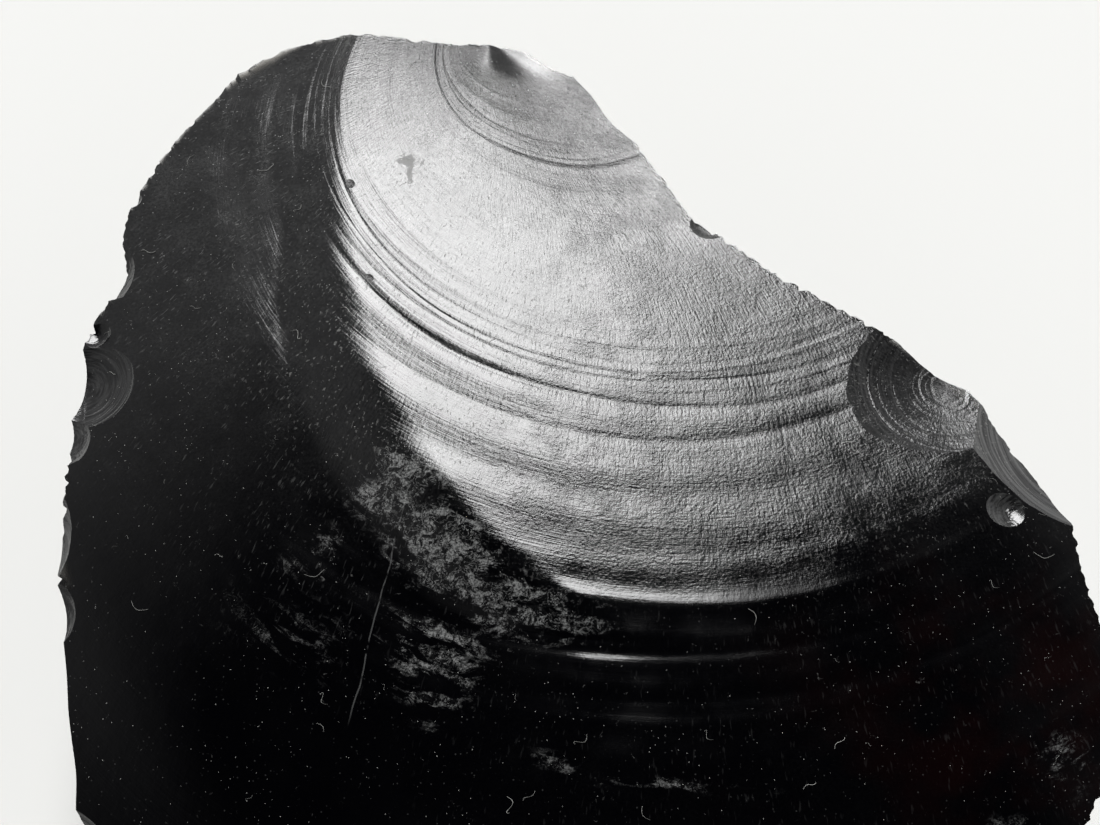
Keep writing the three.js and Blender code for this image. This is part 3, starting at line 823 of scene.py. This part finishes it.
def makePatterns(tree):
    # every field, pattern and mask of the glass by its name
    flow = addNode(tree, "ShaderNodeUVMap", uv_map="flow")
    place = addNode(tree, "ShaderNodeTexCoord").outputs["Object"]
    perMm = 1 / metresPerMm
    values = {}
    for name in glass["fields"]:
        values[name] = addNode(tree, "ShaderNodeAttribute", attribute_name=name).outputs["Fac"]
    for name, (size, detail, roughness, distortion) in glass["patterns"].items():
        values[name] = addNode(tree, "ShaderNodeTexNoise", {
            "Vector": place, "Scale": perMm / size, "Detail": detail, "Roughness": roughness,
            "Distortion": distortion})
    for name, (around, away, detail, roughness, distortion) in glass["flowPatterns"].items():
        stretched = addNode(tree, "ShaderNodeMapping", {"Vector": flow, "Scale": (1 / around, 1 / away, 1)})
        values[name] = addNode(tree, "ShaderNodeTexNoise", {
            "Vector": stretched, "Scale": 1.0, "Detail": detail, "Roughness": roughness,
            "Distortion": distortion})
    cells = addNode(tree, "ShaderNodeTexVoronoi", {"Vector": place, "Scale": perMm / glass["speckSpacing"]})
    values["cellDistance"] = cells.outputs["Distance"]
    values["cellChance"] = addNode(tree, "ShaderNodeSeparateColor", {0: cells.outputs["Color"]})
    values["smudgeEdge"] = sumLayers(tree, values, [("smudged", 0.5), ("smudgeSpots",)])
    values["bruiseEdge"] = sumLayers(tree, values, [("bruised", 0.36), ("bruisePatches",)])
    fromMiddle = sumLayers(tree, values, [("cracks",), (-0.5,)])
    values["crackDepth"] = addNode(tree, "ShaderNodeMath", {0: fromMiddle}, operation="ABSOLUTE")
    # where a point lies along the scratch and beside it, in mm
    (x0, y0), (x1, y1) = glass["scratch"]["start"], glass["scratch"]["end"]
    start = addNode(tree, "ShaderNodeVectorMath", {
        0: place, 1: (x0 * metresPerMm, y0 * metresPerMm, 0)}, operation="SUBTRACT")
    length = math.hypot(x1 - x0, y1 - y0) * metresPerMm
    for name, way in (("scratchRun", (x1 - x0, y1 - y0)), ("scratchSide", (y0 - y1, x1 - x0))):
        values[name] = addNode(tree, "ShaderNodeVectorMath", {
            0: start, 1: (way[0] / length, way[1] / length, 0)}, operation="DOT_PRODUCT").outputs["Value"]
    sway = glass["scratch"]["sway"]
    swaying = sumLayers(tree, values, [("scratchSide",), ("scratchSway", sway), (-sway / 2,)])
    values["scratchSide"] = addNode(tree, "ShaderNodeMath", {0: swaying}, operation="ABSOLUTE")
    addMasks(tree, values, glass["masks"])
    values["crushed"] = addNode(tree, "ShaderNodeMath", {
        0: values["whiteFlecks"], 1: values["whiteCracks"]}, operation="MAXIMUM")
    return values


def makeGlass():
    # black and glossy to the eye, grey and silky on the fan, smoky where the edge is thin
    material = bpy.data.materials.new("obsidian glass")
    material.use_nodes = True
    tree = material.node_tree
    tree.nodes.clear()
    values = makePatterns(tree)
    relief = sumLayers(tree, values, glass["relief"])
    bump = addNode(tree, "ShaderNodeBump", {"Height": relief, "Strength": 1.0, "Distance": metresPerMm})
    rough = sumLayers(tree, values, [("roughness", "unevenPolish")])
    clear = addNode(tree, "ShaderNodeBsdfPrincipled", {
        "Base Color": (1, 1, 1, 1), "Roughness": rough, "IOR": glass["ior"],
        "Transmission Weight": 1.0, "Normal": bump})
    # where the stone is thick nothing comes back out of it
    black = addNode(tree, "ShaderNodeBsdfPrincipled", {
        "Base Color": srgbToLinear(glass["bodyColour"]), "Roughness": rough, "IOR": glass["ior"],
        "Normal": bump})
    # dark pits where the fan is smoothest, and the smudge
    pits = sumLayers(tree, values, [("darkPits", "darkPitPatches", "satin")])
    pits = addNode(tree, "ShaderNodeMath", {0: pits, 1: values["smudge"]}, operation="MAXIMUM")
    dull = addNode(tree, "ShaderNodeBsdfPrincipled", {
        "Base Color": srgbToLinear(glass["pitColour"]), "Roughness": glass["pitRoughness"],
        "IOR": glass["ior"]})
    lump = addNode(tree, "ShaderNodeMixShader", {0: pits, 1: black, 2: dull})
    bare = addNode(tree, "ShaderNodeMixShader", {0: values["thin"], 1: lump, 2: clear})
    # white diffuse for dust, film, specks, ticks, bruises and the scratch, and for the painted reflection on
    # the right-hand rim facet
    white = addNode(tree, "ShaderNodeBsdfPrincipled", {
        "Base Color": srgbToLinear(glass["dustAndSheenColour"]), "Roughness": 1.0, "Specular IOR Level": 0.0})
    cover = addNode(tree, "ShaderNodeClamp", {0: sumLayers(tree, values, glass["white"])})
    dustAndSheenGlass = addNode(tree, "ShaderNodeMixShader", {0: cover, 1: bare, 2: white})
    # a breath of mahogany red in the body of the glass
    red = addNode(tree, "ShaderNodeBsdfDiffuse", {"Color": srgbToLinear(glass["mahogany"])})
    tint = sumLayers(tree, values, [("tinted", "redClouds")])
    surface = addNode(tree, "ShaderNodeMixShader", {0: tint, 1: dustAndSheenGlass, 2: red})
    body = addNode(tree, "ShaderNodeVolumeAbsorption", {
        "Color": srgbToLinear(glass["absorbColour"]), "Density": glass["absorbDensity"]})
    addNode(tree, "ShaderNodeOutputMaterial", {"Surface": surface, "Volume": body})
    return material


stone = makeStone()
dressStone(stone)
stone.transform(Matrix.Scale(metresPerMm, 4))
chunkPiece = linkObject("obsidianChunk", stone)
stone.materials.clear()
stone.materials.append(makeGlass())
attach(chunkPiece, "root")
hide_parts("chunk")
print("stone finished,", sum(len(p.vertices) - 2 for p in stone.polygons), "triangles")

# Dust grains and curled lint lying on the stone; sizes in mm, density in pieces per square metre.
dust = {
    "grains": {"density": 430000.0, "seed": 3, "size": (0.030, 0.110)},
    "lint": {"density": 16000.0, "seed": 8, "size": (0.4, 1.7)},
    "lowest": 19.0,            # nothing lies on the stone below this height
    "level": 0.8,              # or where it is steeper than this, as the cosine
    "clumps": 9.0,             # mm, the size of the thinner and thicker patches
    "colour": "#8d8d8a",
    "fibreRadius": 0.013,      # for a fibre one long
    "shapeSeed": 21,
}


def grainShape(name, rng):
    # a crumb of twenty faces
    form = bmesh.new()
    bmesh.ops.create_icosphere(form, subdivisions=1, radius=0.5)
    for corner in form.verts:
        corner.co *= rng.uniform(0.55, 1.0)
    mesh = bpy.data.meshes.new(name)
    form.to_mesh(mesh)
    form.free()
    return bpy.data.objects.new(name, mesh)


def fibreShape(name, bend, hook):
    # a three-sided thread along x that curls sideways and lies close to the surface
    t = np.linspace(0, 1, 11)
    x = t - 0.5 - hook * t ** 6
    y = bend * np.sin(math.pi * t) + hook * np.sin(2.2 * math.pi * t) * 0.5
    z = 0.03 + 0.05 * np.sin(2 * math.pi * t) ** 2
    middle = np.stack([x, y, z], -1)
    corners = []
    for turn in (0, 2.094, 4.189):
        corners.append(middle + dust["fibreRadius"] * np.array([0, math.cos(turn), math.sin(turn)]))
    corners = np.stack(corners, 1).reshape(-1, 3)
    faces = [[0, 2, 1], [30, 31, 32]]
    for k in range(10):
        faces += [[3 * k + a, 3 * k + b, 3 * k + b + 3, 3 * k + a + 3] for a, b in ((0, 1), (1, 2), (2, 0))]
    mesh = bpy.data.meshes.new(name)
    mesh.from_pydata(corners.tolist(), [], faces)
    return bpy.data.objects.new(name, mesh)


def makeScatter():
    # shapes strewn over the upper side of an object
    tree = bpy.data.node_groups.new("strewn", "GeometryNodeTree")
    sockets = {
        "Stone": "Object", "Shapes": "Collection", "Density": "Float", "Seed": "Int", "Smallest": "Float",
        "Largest": "Float", "Lowest": "Float", "Clumps": "Float", "Material": "Material"}
    for name, kind in sockets.items():
        tree.interface.new_socket(name, in_out="INPUT", socket_type="NodeSocket" + kind)
    tree.interface.new_socket("Geometry", in_out="OUTPUT", socket_type="NodeSocketGeometry")
    given = addNode(tree, "NodeGroupInput").outputs
    ground = addNode(tree, "GeometryNodeObjectInfo", {"Object": given["Stone"]}).outputs["Geometry"]
    place = addNode(tree, "GeometryNodeInputPosition")
    normal = addNode(tree, "GeometryNodeInputNormal")
    height = addNode(tree, "ShaderNodeSeparateXYZ", {0: place}).outputs["Z"]
    facing = addNode(tree, "ShaderNodeSeparateXYZ", {0: normal}).outputs["Z"]
    high = addNode(tree, "ShaderNodeMath", {0: height, 1: given["Lowest"]}, operation="GREATER_THAN")
    upward = addNode(tree, "ShaderNodeMath", {0: facing, 1: dust["level"]}, operation="GREATER_THAN")
    clumps = addNode(tree, "ShaderNodeMath", {0: 1.0, 1: given["Clumps"]}, operation="DIVIDE")
    patches = addNode(tree, "ShaderNodeTexNoise", {"Vector": place, "Scale": clumps, "Detail": 2.0})
    patches = addNode(tree, "ShaderNodeMapRange", {
        "Value": patches, "From Min": 0.35, "From Max": 0.65, "To Min": 0.15, "To Max": 1.85})
    density = sumLayers(tree, {}, [(high, upward, patches, given["Density"])])
    points = addNode(tree, "GeometryNodeDistributePointsOnFaces", {
        "Mesh": ground, "Density": density, "Seed": given["Seed"]}, distribute_method="RANDOM")
    shapes = addNode(tree, "GeometryNodeCollectionInfo", {
        "Collection": given["Shapes"], "Separate Children": True, "Reset Children": True})
    sizeSeed = addNode(tree, "ShaderNodeMath", {0: given["Seed"], 1: 1}, operation="ADD")
    turnSeed = addNode(tree, "ShaderNodeMath", {0: given["Seed"], 1: 2}, operation="ADD")
    size = addNode(tree, "FunctionNodeRandomValue", {
        2: given["Smallest"], 3: given["Largest"], 8: sizeSeed}).outputs[1]
    angle = addNode(tree, "FunctionNodeRandomValue", {2: 0.0, 3: 2 * math.pi, 8: turnSeed}).outputs[1]
    strewn = addNode(tree, "GeometryNodeInstanceOnPoints", {
        "Points": points, "Instance": shapes, "Pick Instance": True,
        "Rotation": points.outputs["Rotation"], "Scale": size})
    turn = addNode(tree, "ShaderNodeCombineXYZ", {2: angle})
    turned = addNode(tree, "GeometryNodeRotateInstances", {"Instances": strewn, "Rotation": turn})
    solid = addNode(tree, "GeometryNodeRealizeInstances", {"Geometry": turned})
    dressed = addNode(tree, "GeometryNodeSetMaterial", {"Geometry": solid, "Material": given["Material"]})
    addNode(tree, "NodeGroupOutput", {"Geometry": dressed})
    return tree


def strew(name, shapes, kind, tree, material):
    # runs the tree once and keeps its result as a plain mesh
    gathered = bpy.data.collections.new(name + "Shapes")
    for shape in shapes:
        gathered.objects.link(shape)
    host = linkObject(name + "Host", bpy.data.meshes.new(name + "Host"))
    change = host.modifiers.new("strewn", "NODES")
    change.node_group = tree
    smallest, largest = kind["size"]
    values = {
        "Stone": chunkPiece, "Shapes": gathered, "Density": kind["density"], "Seed": kind["seed"],
        "Smallest": smallest * metresPerMm, "Largest": largest * metresPerMm,
        "Lowest": dust["lowest"] * metresPerMm, "Clumps": dust["clumps"] * metresPerMm,
        "Material": material}
    for item in tree.interface.items_tree:
        if item.in_out == "INPUT":
            change[item.identifier] = values[item.name]
    graph = bpy.context.evaluated_depsgraph_get()
    mesh = bpy.data.meshes.new_from_object(host.evaluated_get(graph))
    bpy.data.objects.remove(host)
    for shape in shapes:
        bpy.data.objects.remove(shape)
    bpy.data.collections.remove(gathered)
    piece = linkObject(name, mesh)
    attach(piece, "root")
    print(name, "strewn,", len(mesh.polygons), "faces")
    return piece


def makeDustMaterial():
    # pale grey and matt, like household dust
    material = bpy.data.materials.new("dust and lint")
    material.use_nodes = True
    shader = material.node_tree.nodes["Principled BSDF"]
    shader.inputs["Base Color"].default_value = srgbToLinear(dust["colour"])
    shader.inputs["Roughness"].default_value = 1.0
    shader.inputs["Specular IOR Level"].default_value = 0.0
    return material


scatter, dustMaterial = makeScatter(), makeDustMaterial()
shapeRng = np.random.default_rng(dust["shapeSeed"])
grainShapes = [grainShape(f"grain{k}", shapeRng) for k in range(3)]
strew("dustGrains", grainShapes, dust["grains"], scatter, dustMaterial)
fibreShapes = [fibreShape("curl", 0.26, 0.0), fibreShape("wave", 0.08, 0.16), fibreShape("hook", 0.16, 0.30)]
strew("lint", fibreShapes, dust["lint"], scatter, dustMaterial)

studio = {
    "floorColour": "#c9c9c7",
    "floorRoughness": 0.9,
    "floorHalf": 1.5,          # metres
    "boxElevation": 54.0,      # degrees, of the middle of the soft box
    "boxSlant": 0.30,          # of its left edge
    # masks: heights are sines of the elevation, and the box is measured across and up its own plane
    "masks": {
        "walls": ("up", 0.643, 0.914, 0.45, 0.004),        # pale walls under a dark ceiling
        "glow": ("up", 0.375, 0.669, 0.5, 0.0),            # brighter low down
        "glowRight": ("right", -0.3, 0.9, 0.0, 1.0),
        "boxBottom": ("upwards", -0.58, -0.44, 0.0, 1.0),
        "boxTop": ("upwards", 0.27, 0.33, 1.0, 0.0),
        "boxLeft": ("leaning", -0.30, -0.24, 0.0, 1.0),
        "boxRight": ("sideways", 0.0, 0.20, 1.0, 0.0),
        "boxLight": ("ahead", 0.0, 0.3, 0.0, 19.5),
    },
    "light": [("walls",), ("glow", "glowRight"), ("boxBottom", "boxTop", "boxLeft", "boxRight", "boxLight")],
}


def makeFloor():
    half = studio["floorHalf"]
    corners = [(-half, -half, 0), (half, -half, 0), (half, half, 0), (-half, half, 0)]
    mesh = bpy.data.meshes.new("table")
    mesh.from_pydata(corners, [], [(0, 1, 2, 3)])
    material = bpy.data.materials.new("pale matt board")
    material.use_nodes = True
    shader = material.node_tree.nodes["Principled BSDF"]
    shader.inputs["Base Color"].default_value = srgbToLinear(studio["floorColour"])
    shader.inputs["Roughness"].default_value = studio["floorRoughness"]
    mesh.materials.append(material)
    linkObject("table", mesh)


def makeLight():
    # pale walls, a dark ceiling and one large soft box beyond the stone
    world = bpy.data.worlds.new("studio")
    bpy.context.scene.world = world
    world.use_nodes = True
    tree = world.node_tree
    tree.nodes.clear()
    way = addNode(tree, "ShaderNodeTexCoord").outputs["Generated"]
    rise = math.radians(studio["boxElevation"])
    directions = {
        "up": (0, 0, 1), "right": (1, 0, 0),
        "ahead": (0, math.cos(rise), math.sin(rise)), "boxUp": (0, -math.sin(rise), math.cos(rise))}
    values = {}
    for name, direction in directions.items():
        values[name] = addNode(tree, "ShaderNodeVectorMath", {
            0: way, 1: direction}, operation="DOT_PRODUCT").outputs["Value"]
    values["ahead"] = addNode(tree, "ShaderNodeMath", {0: values["ahead"], 1: 0.001}, operation="MAXIMUM")
    for name, source in (("sideways", "right"), ("upwards", "boxUp")):
        values[name] = addNode(tree, "ShaderNodeMath", {
            0: values[source], 1: values["ahead"]}, operation="DIVIDE")
    values["leaning"] = sumLayers(tree, values, [("upwards", -studio["boxSlant"]), ("sideways",)])
    addMasks(tree, values, studio["masks"])
    light = sumLayers(tree, values, studio["light"])
    background = addNode(tree, "ShaderNodeBackground", {"Color": (1, 1, 1, 1), "Strength": light})
    addNode(tree, "ShaderNodeOutputWorld", {"Surface": background})
    bpy.context.scene.view_settings.view_transform = "Standard"


makeFloor()
makeLight()
print("table and light ready")
